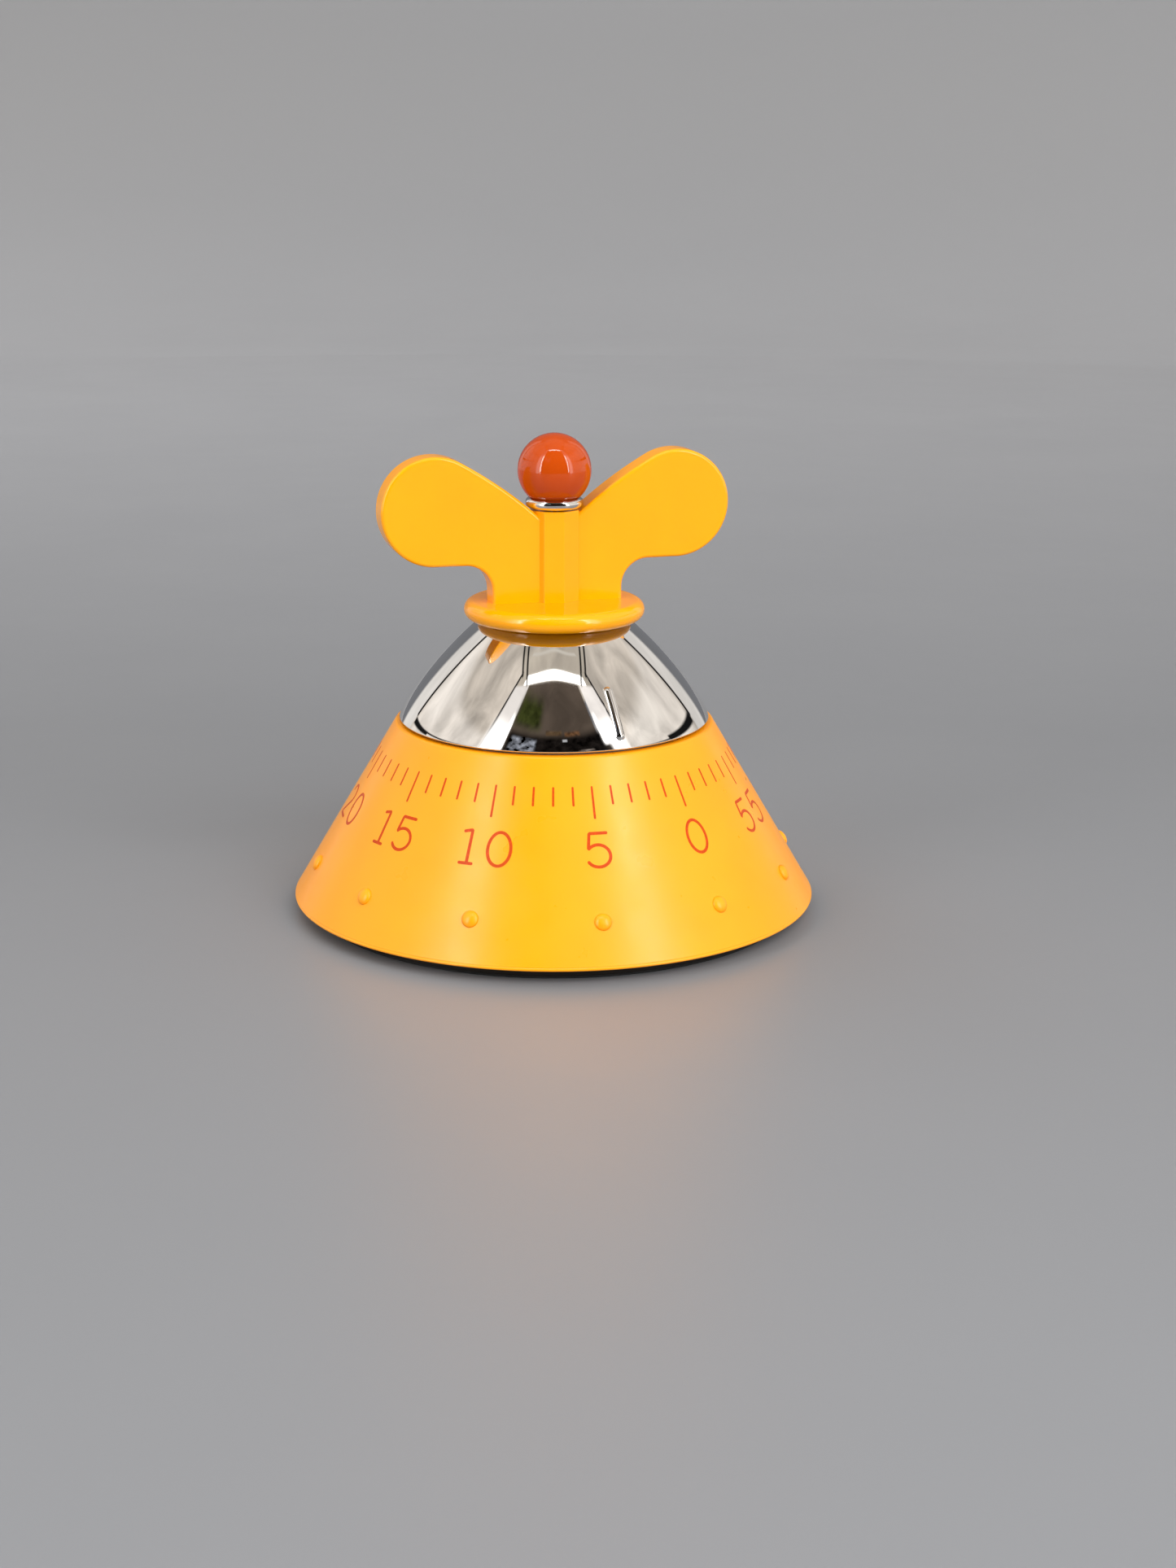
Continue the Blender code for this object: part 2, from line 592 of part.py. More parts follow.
def make_anchor(anchor, escape, balance):
    """Two pallets that straddle the escape wheel, and a tail that points to the balance staff."""
    axis = axis_empty("anchor_axis", anchor)
    make_arbor("anchor_arbor", axis, radius=0.8)
    ahead = direction(anchor, escape)
    tail = (direction(anchor, balance) - ahead) % 360
    pallet = [(25, 2.0), (42, 3.6), (43, 5.6), (48, 6.4), (56, 5.8), (62, 2.6)]
    across = [(360 - angle, radius) for angle, radius in reversed(pallet)]
    fork = [(tail - 18, 2.0), (tail - 5, 6.2), (tail + 5, 6.2), (tail + 18, 2.0)]
    between = [(angle, 1.8) for angle in (90, 120, 270) if abs(angle - tail) > 25]
    around = sorted(pallet + across + fork + between)
    outline = [polar(radius, ahead + angle) for angle, radius in around]
    flat("anchor", [outline, circle(1.1, points=10)], 17.0, 17.8, STEEL, axis)


def make_balance(balance):
    axis = axis_empty("balance_axis", balance)
    make_arbor("balance_staff", axis, radius=0.8)
    halves = [window(1.9, 6.2, a + 14, a + 166, 9) for a in (0, 180)]
    flat("balance_wheel", [circle(7.5, points=32), circle(1.1, points=10)] + halves, 19.6, 20.6, BRASS, axis)
    spiral("hairspring", 1.6, 4.4, 3, 0.25, 18.2, 18.8, BLUED, per_turn=14, parent=axis)


def make_hammer():
    """A lever by the cam and the star, and an arm under the plate whose head strikes the bell's rim."""
    place = polar(HAMMER_CIRCLE, HAMMER_ANGLE)
    axis = axis_empty("hammer_axis", place)
    make_arbor("hammer_arbor", axis, radius=0.8, low=6.4)
    to_cam = direction(place, (0, 0))
    to_star = direction(place, arbor_places()[0])
    crotch = (to_cam + to_star) / 2
    turn = math.copysign(1, to_cam - to_star)
    corners = [(2.2, to_cam + 110 * turn), (19.8, to_cam + 2 * turn), (19.8, to_cam - 2 * turn),
               (4.5, crotch), (12.4, to_star + 4 * turn), (12.4, to_star - 4 * turn),
               (2.2, to_star - 110 * turn)]
    lever = [polar(radius, angle) for radius, angle in corners]
    hole = circle(1.1, points=10)
    flat("hammer_lever", [lever, hole], 29.1, 29.9, STEEL, axis)
    head = polar(24.8, 130)
    reach = math.dist(place, head)
    aim = direction(place, head)
    arm = [polar(2.2, aim + 120), polar(reach + 1.2, aim + 5), polar(reach + 1.2, aim - 5),
           polar(2.2, aim - 120)]
    flat("hammer_arm", [arm, hole], 7.0, 7.9, STEEL, axis)
    rod("hammer_head", 1.6, 8.2, 10.7, BRASS, 12, axis, at=polar(reach, aim))


make_base_shell()
make_bottom()
make_bell()
make_plates()
dial_axis = axis_empty("dial_axis", (0, 0))
make_dome(dial_axis)
make_knob(dial_axis)
make_finial(dial_axis)
make_carrier(dial_axis)
make_winding_arbor(dial_axis)
make_train()
make_hammer()
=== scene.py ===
"""Looks of the wind-up kitchen timer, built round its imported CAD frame.

Lengths are millimetres in the row frame: origin at the centre of the base, +Z up, wings along X, front
towards -Y. Helper functions turn them into Blender's metres.
"""

import math

import bmesh
import bpy
import numpy as np
from mathutils import Matrix, Vector


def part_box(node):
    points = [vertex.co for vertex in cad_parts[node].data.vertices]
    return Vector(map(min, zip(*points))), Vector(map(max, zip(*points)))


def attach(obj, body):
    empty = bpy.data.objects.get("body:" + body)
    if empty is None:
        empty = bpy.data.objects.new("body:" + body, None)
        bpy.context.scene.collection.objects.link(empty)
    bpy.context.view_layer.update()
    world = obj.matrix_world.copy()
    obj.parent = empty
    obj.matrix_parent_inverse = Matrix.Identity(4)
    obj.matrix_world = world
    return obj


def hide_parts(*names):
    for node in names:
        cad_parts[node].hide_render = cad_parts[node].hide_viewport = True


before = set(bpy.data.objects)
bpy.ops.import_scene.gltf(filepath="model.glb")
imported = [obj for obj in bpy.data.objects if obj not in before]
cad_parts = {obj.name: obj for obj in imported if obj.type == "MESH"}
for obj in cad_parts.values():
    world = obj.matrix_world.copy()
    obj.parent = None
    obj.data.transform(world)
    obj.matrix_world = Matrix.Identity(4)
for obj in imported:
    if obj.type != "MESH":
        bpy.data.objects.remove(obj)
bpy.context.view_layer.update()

MM = 0.001


def node_box(node):
    """A CAD node's lowest and highest corners, in millimetres."""
    low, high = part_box(node)
    return [c / MM for c in low], [c / MM for c in high]


# ---- Sizes that the frame gives ----

SHELL_LOW, SHELL_HIGH = node_box("base_shell")
DOME_BOX_LOW, DOME_BOX_HIGH = node_box("dome")
KNOB_LOW = node_box("knob")[0]
BALL_HIGH = node_box("ball_finial")[1]
COVER_BOX_LOW, COVER_BOX_HIGH = node_box("base_cover")
FOOT_BOX_HIGH = node_box("foot_ring")[1]

BASE_RADIUS = SHELL_HIGH[0]
BASE_BOTTOM = SHELL_LOW[2]
RIM_HEIGHT = SHELL_HIGH[2]
DOME_LOW, DOME_HIGH = DOME_BOX_LOW[2], DOME_BOX_HIGH[2]
SPIGOT_LOW = KNOB_LOW[2]
BALL_RADIUS = BALL_HIGH[0]
BALL_Z = BALL_HIGH[2] - BALL_RADIUS
COVER_RADIUS = COVER_BOX_HIGH[0]
COVER_LOW, COVER_HIGH = COVER_BOX_LOW[2], COVER_BOX_HIGH[2]
FOOT_OUTSIDE, FOOT_HIGH = FOOT_BOX_HIGH[0], FOOT_BOX_HIGH[2]

# ---- Sizes repeated from the CAD model ----

BASE_WIDEST = 3.0
RIM_RADIUS = 32.55
RIM_INSIDE = 30.2
WALL = 2.55
DECK_LOW = 34.5
DECK_HIGH = 36.3
DECK_HOLE = 4.3
PLATE_SCREW_CIRCLE = 27.5
PLATE_SCREW_ANGLES = (90, 210, 330)
ZERO_ANGLE = -63.75
DOT_ANGLE = -64.5
DOT_HEIGHT = 11.05
DOT_RADIUS = 1.7
DOT_RISE = 0.92

DOME_RADIUS = 32.41
DOME_CENTRE = 38.28
DOME_RISE = 31.59
DOME_POWER = 1.30
DOME_WALL = 1.2
DOME_HOLE = 6.0
INDEX_ANGLE = -80.5

FLANGE_RADIUS = 18.4
FLANGE_LOW = 60.45
FLANGE_HIGH = 64.35
POST_RADIUS = 5.3
POST_TOP = 82.8
POST_ANGLE = -105.0
WING_THICKNESS = 6.0
WING_EDGE = 0.7
LOBE_X = 25.15
LOBE_Z = 83.35
LOBE_RADIUS = 11.0
LOBE_SLOPE = 29.0
WING_CREST = 90.0
WING_ROOT_X = 3.0
NECK_X = 13.5
NECK_FILLET = 5.6
SPIGOT_RADIUS = 5.6
STUD_HOLE = 1.75
SOCKET_WIDTH = 3.9
SOCKET_HIGH = 57.6

COLLAR_RADIUS = 4.85
COLLAR_TUBE = 1.05
COLLAR_INSIDE = 3.4

COVER_SCREW_CIRCLE = 43.5
COVER_SCREW_ANGLES = (30, 150, 270)
COVER_BOSS = 3.2
COVER_BOSS_HIGH = 14.5
COVER_PILOT_HIGH = 12.0
PLATE_BOSS = 2.6
PLATE_BOSS_LOW = 32.5
FOOT_INSIDE = 46.8
SCREW_PILOT = 1.25
GAP = 0.3

# ---- Fineness of the meshes ----

ROUND = 288
EDGE_POINTS = 9

CONE_SLOPE = (BASE_RADIUS - RIM_RADIUS) / (RIM_HEIGHT - BASE_WIDEST)
CONE_STRETCH = math.hypot(1, CONE_SLOPE)
CONE_NORMAL = (1 / CONE_STRETCH, CONE_SLOPE / CONE_STRETCH)


# ---- Mesh helpers ----


def new_object(name, points, faces):
    """A mesh object at the origin, from points in millimetres."""
    mesh = bpy.data.meshes.new(name)
    mesh.from_pydata((np.array(points, float) * MM).tolist(), [], [list(f) for f in faces])
    mesh.update()
    made = bpy.data.objects.new(name, mesh)
    bpy.context.scene.collection.objects.link(made)
    return made


def grid_faces(rows, columns, ring=False, first=0):
    """The faces of a tube, whose rows of points each go once round it.

    A ring's last row joins its first. The points are numbered from first.
    """
    faces = []
    for row in range(rows if ring else rows - 1):
        here, below = first + row * columns, first + (row + 1) % rows * columns
        for k in range(columns):
            nxt = (k + 1) % columns
            faces.append((here + k, below + k, below + nxt, here + nxt))
    return faces


def capped_faces(rows, columns, first=0):
    """The faces of a tube with a flat face over each end."""
    last = first + (rows - 1) * columns
    ends = [range(first, first + columns), range(last, last + columns)[::-1]]
    return grid_faces(rows, columns, first=first) + ends


def tidy_mesh(piece, merge=0.0005):
    """Merges doubled points and turns every face outwards."""
    work = bmesh.new()
    work.from_mesh(piece.data)
    bmesh.ops.remove_doubles(work, verts=work.verts, dist=merge * MM)
    bmesh.ops.dissolve_degenerate(work, edges=work.edges, dist=merge * MM)
    bmesh.ops.recalc_face_normals(work, faces=work.faces)
    work.to_mesh(piece.data)
    work.free()


def smooth(piece, sharp_angle=32.0):
    piece.data.shade_smooth()
    piece.data.set_sharp_from_angle(angle=math.radians(sharp_angle))


def even_flats(piece):
    """Lets the large faces round a corner set its shading, so that slivers left by a cut don't show."""
    weighted = piece.modifiers.new("even_flats", "WEIGHTED_NORMAL")
    weighted.keep_sharp = True
    weighted.weight = 100


def polar(radius, degrees):
    return (radius * math.cos(math.radians(degrees)), radius * math.sin(math.radians(degrees)))


def arc(centre, radius, start, end, points, height=None):
    """Points on an arc, or on an ellipse's arc where height gives its second radius."""
    second = radius if height is None else height
    angles = np.radians(np.linspace(start, end, points))
    return [(centre[0] + radius * math.cos(a), centre[1] + second * math.sin(a)) for a in angles]


def turned(name, profile, steps=ROUND, ring=False, at=(0, 0)):
    """A turned piece from (radius, height) points that run down its outer side.

    A ring's profile closes on itself. Any other profile starts and ends on the axis.
    """
    angles = 2 * math.pi * np.arange(steps) / steps
    profile = np.array(profile, float)
    cosines, sines = np.cos(angles), np.sin(angles)
    points = [(at[0] + r * c, at[1] + r * s, z) for r, z in profile for c, s in zip(cosines, sines)]
    made = new_object(name, points, grid_faces(len(profile), steps, ring))
    tidy_mesh(made)
    return made


def combine(piece, tool, operation):
    """Joins or cuts a piece with a closed tool mesh, which is then removed."""
    modifier = piece.modifiers.new("combine", "BOOLEAN")
    modifier.solver = "MANIFOLD"
    modifier.operation = operation
    modifier.object = tool
    bpy.context.view_layer.update()
    graph = bpy.context.evaluated_depsgraph_get()
    piece.data = bpy.data.meshes.new_from_object(piece.evaluated_get(graph))
    piece.modifiers.clear()
    bpy.data.objects.remove(tool)


def join(piece, tool):
    combine(piece, tool, "UNION")


def cut(piece, tool):
    combine(piece, tool, "DIFFERENCE")


def cylinder(radius, low, high, at=(0, 0), steps=48):
    return turned("tool", [(0, high), (radius, high), (radius, low), (0, low)], steps, at=at)


def place(piece, body, slot, finish, *nodes):
    """Gives a finished piece its material, its body and the CAD nodes that it stands for; the slot is not
    used.
    """
    piece.data.materials.clear()
    piece.data.materials.append(finish)
    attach(piece, body)
    if nodes:
        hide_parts(*nodes)


# ---- Materials ----


class Finish:
    """A Principled material with room for noise on its colour, roughness and bump."""

    def __init__(self, name, color, roughness, metallic=0.0, **sockets):
        self.material = bpy.data.materials.new(name)
        self.material.use_nodes = True
        self.tree = self.material.node_tree
        self.shader = self.tree.nodes["Principled BSDF"]
        self.color = color
        self.set("Base Color", (*color, 1.0))
        self.set("Roughness", roughness)
        self.set("Metallic", metallic)
        for socket, value in sockets.items():
            self.set(socket.replace("_", " "), value)
        self.place = self.node("ShaderNodeTexCoord").outputs["Object"]
        self.bump = None

    def set(self, socket, value):
        self.shader.inputs[socket].default_value = value

    def node(self, kind, **settings):
        made = self.tree.nodes.new(kind)
        for key, value in settings.items():
            setattr(made, key, value)
        return made

    def link(self, start, end):
        self.tree.links.new(start, end)

    def noise(self, size, detail, stretch=(1, 1, 1)):
        """A noise whose features are about size millimetres."""
        mapping = self.node("ShaderNodeMapping")
        mapping.inputs["Scale"].default_value = stretch
        self.link(self.place, mapping.inputs["Vector"])
        made = self.node("ShaderNodeTexNoise")
        made.inputs["Scale"].default_value = 1 / (size * MM)
        made.inputs["Detail"].default_value = detail
        self.link(mapping.outputs["Vector"], made.inputs["Vector"])
        return made.outputs["Fac"]

    def remap(self, value, low, high, start=0.0, end=1.0):
        made = self.node("ShaderNodeMapRange")
        made.inputs["From Min"].default_value = low
        made.inputs["From Max"].default_value = high
        made.inputs["To Min"].default_value = start
        made.inputs["To Max"].default_value = end
        self.link(value, made.inputs["Value"])
        return made.outputs["Result"]

    def vary_color(self, value, other):
        """Blends the colour towards another one where value is high."""
        mix = self.node("ShaderNodeMix", data_type="RGBA")
        mix.inputs["A"].default_value = (*self.color, 1.0)
        mix.inputs["B"].default_value = (*other, 1.0)
        self.link(value, mix.inputs["Factor"])
        self.link(mix.outputs["Result"], self.shader.inputs["Base Color"])

    def vary_roughness(self, value, low, high):
        self.link(self.remap(value, 0.3, 0.7, low, high), self.shader.inputs["Roughness"])

    def add_bump(self, value, height):
        """Adds relief of that height in millimetres on top of any relief already there."""
        made = self.node("ShaderNodeBump")
        made.inputs["Distance"].default_value = height * MM
        self.link(value, made.inputs["Height"])
        if self.bump:
            self.link(self.bump, made.inputs["Normal"])
        self.bump = made.outputs["Normal"]
        self.link(self.bump, self.shader.inputs["Normal"])


def scaled(color, factor):
    return tuple(factor * channel for channel in color)


def moulded_plastic(name, color, shade, roughness, relief=0.004, **sockets):
    """Moulded plastic: a fine spark-eroded grain, slow flow ripples and a slightly uneven gloss."""
    made = Finish(name, color, roughness, **sockets)
    made.vary_color(made.remap(made.noise(14, 2.0), 0.35, 0.75), shade)
    made.vary_roughness(made.noise(5, 3.0), roughness * 0.88, roughness * 1.15)
    made.add_bump(made.noise(9, 1.0), 0.02)
    made.add_bump(made.noise(0.35, 2.0), relief)
    return made.material


def polished_metal(name, color, low, high):
    """Plated or polished metal: hardly any relief, with faint cloudy patches in its gloss."""
    made = Finish(name, color, low, 1.0)
    made.vary_roughness(made.noise(3, 4.0), low, high)
    made.add_bump(made.noise(16, 1.0), 0.003)
    made.vary_color(made.remap(made.noise(7, 4.0), 0.4, 0.9), scaled(color, 0.93))
    return made.material


def machined_metal(name, color, roughness):
    """Turned or stamped metal: fine drawn lines and a few duller patches."""
    made = Finish(name, color, roughness, 1.0)
    made.vary_color(made.remap(made.noise(4, 4.0), 0.4, 0.8), scaled(color, 0.8))
    made.vary_roughness(made.noise(2, 4.0), roughness - 0.06, roughness + 0.1)
    made.add_bump(made.noise(0.12, 3.0, (1, 14, 1)), 0.003)
    return made.material


def ink(name, color):
    """Printed ink: satin, slightly mottled and a little rough."""
    made = Finish(name, color, 0.38, Specular_IOR_Level=0.2)
    made.vary_color(made.remap(made.noise(0.5, 3.0), 0.45, 0.8), scaled(color, 1.25))
    made.vary_roughness(made.noise(0.8, 2.0), 0.34, 0.46)
    made.add_bump(made.noise(0.25, 2.0), 0.004)
    return made.material


SATIN_YELLOW = moulded_plastic("satin_yellow_plastic", (0.97, 0.362, 0.002), (0.95, 0.340, 0.001), 0.31)
KNOB_YELLOW = moulded_plastic("knob_yellow_plastic", (0.98, 0.388, 0.0005), (0.96, 0.364, 0.0005), 0.15)
BALL_ORANGE = moulded_plastic("glossy_orange_plastic", (0.48, 0.060, 0.003), (0.45, 0.053, 0.003), 0.025,
                              relief=0.0003, Specular_IOR_Level=0.42)
DARK = moulded_plastic("dark_plastic", (0.011, 0.008, 0.006), (0.018, 0.014, 0.011), 0.55, relief=0.01,
                       Specular_IOR_Level=0.25)
GREY = moulded_plastic("grey_plastic", (0.5, 0.5, 0.48), (0.45, 0.45, 0.43), 0.45)
RUBBER = moulded_plastic("black_rubber", (0.015, 0.015, 0.015), (0.025, 0.025, 0.025), 0.75, relief=0.02)
CHROME = polished_metal("polished_chrome", (0.78, 0.765, 0.75), 0.015, 0.04)
STEEL = machined_metal("bright_steel", (0.55, 0.55, 0.57), 0.3)
BLUED = machined_metal("blued_spring_steel", (0.10, 0.13, 0.24), 0.3)
BRASS = machined_metal("brass", (0.78, 0.56, 0.25), 0.3)
PRINT = ink("orange_red_ink", (0.52, 0.052, 0.002))

SLOT_FINISHES = {"yellow_plastic": SATIN_YELLOW, "orange_plastic": BALL_ORANGE, "chrome": CHROME,
                 "dark_plastic": DARK, "grey_plastic": GREY, "rubber": RUBBER, "steel": STEEL,
                 "blued_steel": BLUED, "brass": BRASS}


def dress_cad_nodes():
    """Gives every CAD node the finish of the slot that its packed material is named for."""
    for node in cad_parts.values():
        for number, packed in enumerate(node.data.materials):
            node.data.materials[number] = SLOT_FINISHES[packed.name]


# ---- Base ----


def cone_radius(height):
    return BASE_RADIUS - CONE_SLOPE * (height - BASE_WIDEST)


def cone_point(angle, height, lift):
    """A point that stands lift millimetres off the cone, at an angle in degrees from +X."""
    radius = cone_radius(height) + lift * CONE_NORMAL[0]
    return (*polar(radius, angle), height + lift * CONE_NORMAL[1])


def base_profile():
    """The cone's section: rounded rim, straight side, fine line, rolled lower edge, inner wall and deck."""
    lean = math.degrees(math.atan(CONE_SLOPE))
    rim_round = 0.7
    rim_z = RIM_HEIGHT - rim_round
    rim_r = cone_radius(rim_z) - rim_round * CONE_STRETCH
    rim = arc((rim_r, rim_z), rim_round, 90, lean, EDGE_POINTS)
    foot_round = 0.32
    foot_z = BASE_BOTTOM + foot_round
    foot_r = cone_radius(foot_z) - foot_round * CONE_STRETCH
    foot = arc((foot_r, foot_z), foot_round, lean, -90, EDGE_POINTS + 2)
    top, low = rim[-1][1], foot[0][1]
    line_low, line_deep = low + 0.10, 0.07
    side = [(cone_radius(z), z) for z in np.linspace(top, line_low + 0.2, 26)[1:]]
    side += [(cone_radius(line_low + 0.14) - line_deep, line_low + 0.14),
             (cone_radius(line_low + 0.06) - line_deep, line_low + 0.06), (cone_radius(line_low), line_low)]
    inner_round = 0.5
    inner = (RIM_INSIDE + inner_round, RIM_HEIGHT - inner_round)
    inside = [(BASE_RADIUS - WALL, BASE_BOTTOM), (BASE_RADIUS - WALL, BASE_WIDEST),
              (cone_radius(DECK_LOW) - WALL, DECK_LOW), (DECK_HOLE, DECK_LOW), (DECK_HOLE, DECK_HIGH),
              (RIM_INSIDE, DECK_HIGH)]
    return rim + side + foot + inside + arc(inner, inner_round, 180, 90, 5)


def make_dots():
    """Twelve low round dots under the five-minute marks, as one closed mesh."""
    rings, around = 14, 40
    points, faces = [], []
    for k in range(12):
        angle = DOT_ANGLE - 30 * k
        outward = Vector((*polar(CONE_NORMAL[0], angle), CONE_NORMAL[1]))
        side = Vector((*polar(1, angle + 90), 0))
        up = outward.cross(side)
        centre = Vector(cone_point(angle, DOT_HEIGHT, 0))
        first = len(points)
        for ring in range(rings + 1):
            fall = math.pi * ring / rings
            reach, height = DOT_RADIUS * math.sin(fall), DOT_RISE * math.cos(fall)
            for step in range(around):
                turn = 2 * math.pi * step / around
                spot = centre + outward * height + (side * math.cos(turn) + up * math.sin(turn)) * reach
                points.append(tuple(spot))
        faces += grid_faces(rings + 1, around, first=first)
    dots = new_object("tool_dots", points, faces)
    tidy_mesh(dots)
    return dots


def make_base():
    shell = turned("cone_shell", base_profile(), ring=True)
    for angle in COVER_SCREW_ANGLES:
        at = polar(COVER_SCREW_CIRCLE, angle)
        join(shell, cylinder(COVER_BOSS, COVER_HIGH + GAP, COVER_BOSS_HIGH, at))
        cut(shell, cylinder(SCREW_PILOT, COVER_HIGH, COVER_PILOT_HIGH, at))
    for angle in PLATE_SCREW_ANGLES:
        at = polar(PLATE_SCREW_CIRCLE, angle)
        join(shell, cylinder(PLATE_BOSS, PLATE_BOSS_LOW, DECK_LOW + 0.5, at))
        cut(shell, cylinder(SCREW_PILOT, PLATE_BOSS_LOW - 0.7, DECK_HIGH - 0.8, at))
    join(shell, make_dots())
    smooth(shell)
    even_flats(shell)
    place(shell, "base", "yellow_plastic", SATIN_YELLOW, "base_shell")


# ---- Printed scale ----

PRINT_LIFT = 0.03
PRINT_SINK = 0.06
TICK_TOP = 34.17
TICK_SHORT = 30.96
TICK_LONG = 28.68
TICK_WIDTH = 0.42
DIGIT_MIDDLE = 23.25
DIGIT_STROKE = 0.62
DIGIT_GAP = 2.1
END_POINTS = 5
LONGEST_STEP = 0.5


def digit_strokes():
    """Each digit as (half width, strokes), in millimetres on the cone round the digit's middle."""
    top, bottom = 3.35, -3.35
    zero = arc((0, 0), 2.3, 90, 450, 49, 3.35)[:-1]
    one = [[(0.35, top), (0.35, bottom)], [(-1.35, top - 0.42), (0.35, top)],
           [(-1.25, bottom), (1.5, bottom)]]
    two = [arc((0, 1.4), 2.15, 165, -38, 22, 1.95) + [(-2.1, bottom + 0.05)],
           [(-2.2, bottom), (2.3, bottom)]]
    three = [arc((-0.1, 1.7), 1.9, 150, -88, 20, 1.65), arc((0, -1.65), 2.25, 88, -150, 24, 1.7)]
    four = [[(2.35, -1.3), (-2.2, -1.3)], [(-2.25, -1.25), (1.0, top)], [(1.05, top), (1.05, bottom)]]
    five = [[(-1.6, top), (2.05, top)], [(-1.6, top), (-1.95, 0.3)],
            arc((-0.1, -1.15), 2.35, 142, -150, 30, 2.2)]
    return {"0": (2.3, [zero]), "1": (1.4, one), "2": (2.25, two), "3": (2.25, three),
            "4": (2.3, four), "5": (2.3, five)}


def end_stations(tip, along, inward, half):
    """The stations that round off a strip's end; inward is 1 at its start and -1 at its far end."""
    stations = []
    for k in range(END_POINTS):
        turn = math.pi / 2 * (k + 0.35) / END_POINTS
        back = half * (0.5 - math.sin(turn))
        stations.append((tip + along * inward * back, Vector((-along.y, along.x)), half * math.cos(turn)))
    return sorted(stations, key=lambda station: (station[0] - tip).dot(along))


def ribbon(points, faces, path, width, to_cone, lift, closed=False):
    """Adds a thin closed strip along a flat path, with round ends where the path is open."""
    path = [Vector(p) for p in path]
    half = width / 2
    count = len(path)
    stations = []
    if closed:
        for k, spot in enumerate(path):
            along = (path[(k + 1) % count] - path[k - 1]).normalized()
            stations.append((spot, Vector((-along.y, along.x)), half))
    else:
        stations += end_stations(path[0], (path[1] - path[0]).normalized(), 1, half)
        for k in range(1, count - 1):
            before = (path[k] - path[k - 1]).normalized()
            after = (path[k + 1] - path[k]).normalized()
            middle = (before + after).normalized()
            across = Vector((-middle.y, middle.x))
            mitre = max(0.45, across.dot(Vector((-before.y, before.x))))
            stations.append((path[k], across, half / mitre))
        stations += end_stations(path[-1], (path[-1] - path[-2]).normalized(), -1, half)
    start = len(points)
    for spot, across, reach in stations:
        left, right = spot + across * reach, spot - across * reach
        for flat, height in ((left, lift), (right, lift), (right, -PRINT_SINK), (left, -PRINT_SINK)):
            points.append(to_cone(flat, height))
    if closed:
        faces += grid_faces(len(stations), 4, ring=True, first=start)
    else:
        faces += capped_faces(len(stations), 4, first=start)


def cone_map(angle, middle):
    """A function from flat (across, up the slope) millimetres to a point on the cone."""
    radius = cone_radius(middle)

    def to_cone(flat, lift):
        height = middle + flat.y / CONE_STRETCH
        return cone_point(angle + math.degrees(flat.x / radius), height, lift)

    return to_cone


def fine_path(path):
    """The path with points added, so that a long stroke follows the cone and doesn't cut under it."""
    fine = [Vector(path[0])]
    for spot in path[1:]:
        start, spot = fine[-1], Vector(spot)
        parts = math.ceil((spot - start).length / LONGEST_STEP)
        fine += [start.lerp(spot, k / parts) for k in range(1, parts + 1)]
    return fine


def make_ticks():
    points, faces = [], []
    for minute in range(60):
        bottom = TICK_LONG if minute % 5 == 0 else TICK_SHORT
        middle = (TICK_TOP + bottom) / 2
        reach = (TICK_TOP - bottom) / 2 * CONE_STRETCH
        to_cone = cone_map(ZERO_ANGLE - 6 * minute, middle)
        ribbon(points, faces, [(0, reach), (0, -reach)], TICK_WIDTH, to_cone, PRINT_LIFT)
    ticks = new_object("minute_ticks", points, faces)
    tidy_mesh(ticks, 0.0001)
    place(ticks, "base", "orange_plastic", PRINT)


def make_numerals():
    digits = digit_strokes()
    points, faces = [], []
    for minute in range(0, 60, 5):
        text = str(minute)
        width = sum(2 * digits[d][0] for d in text) + (DIGIT_GAP + DIGIT_STROKE) * (len(text) - 1)
        to_cone = cone_map(ZERO_ANGLE - 6 * minute, DIGIT_MIDDLE)
        left = -width / 2
        for digit in text:
            half, strokes = digits[digit]
            for number, stroke in enumerate(strokes):
                path = fine_path([(x + left + half, y) for x, y in stroke])
                lift = PRINT_LIFT - 0.006 * number
                ribbon(points, faces, path, DIGIT_STROKE, to_cone, lift, closed=digit == "0")
            left += 2 * half + DIGIT_GAP + DIGIT_STROKE
    numerals = new_object("minute_numerals", points, faces)
    tidy_mesh(numerals, 0.0001)
    place(numerals, "base", "orange_plastic", PRINT)


# ---- Chrome dome ----


def dome_radius(height):
    level = (height - DOME_CENTRE) / DOME_RISE
    return DOME_RADIUS * (1 - level ** DOME_POWER) ** (1 / DOME_POWER)


def ridge_rise(across, along):
    """How far the pressed index mark stands proud, at a distance across it and beyond its nearer end."""
    half_width, rise, fullness = 1.0, 0.55, 0.8
    reach = min(1.0, math.hypot(across, along) / half_width)
    return rise * (1 - reach ** 2) ** fullness


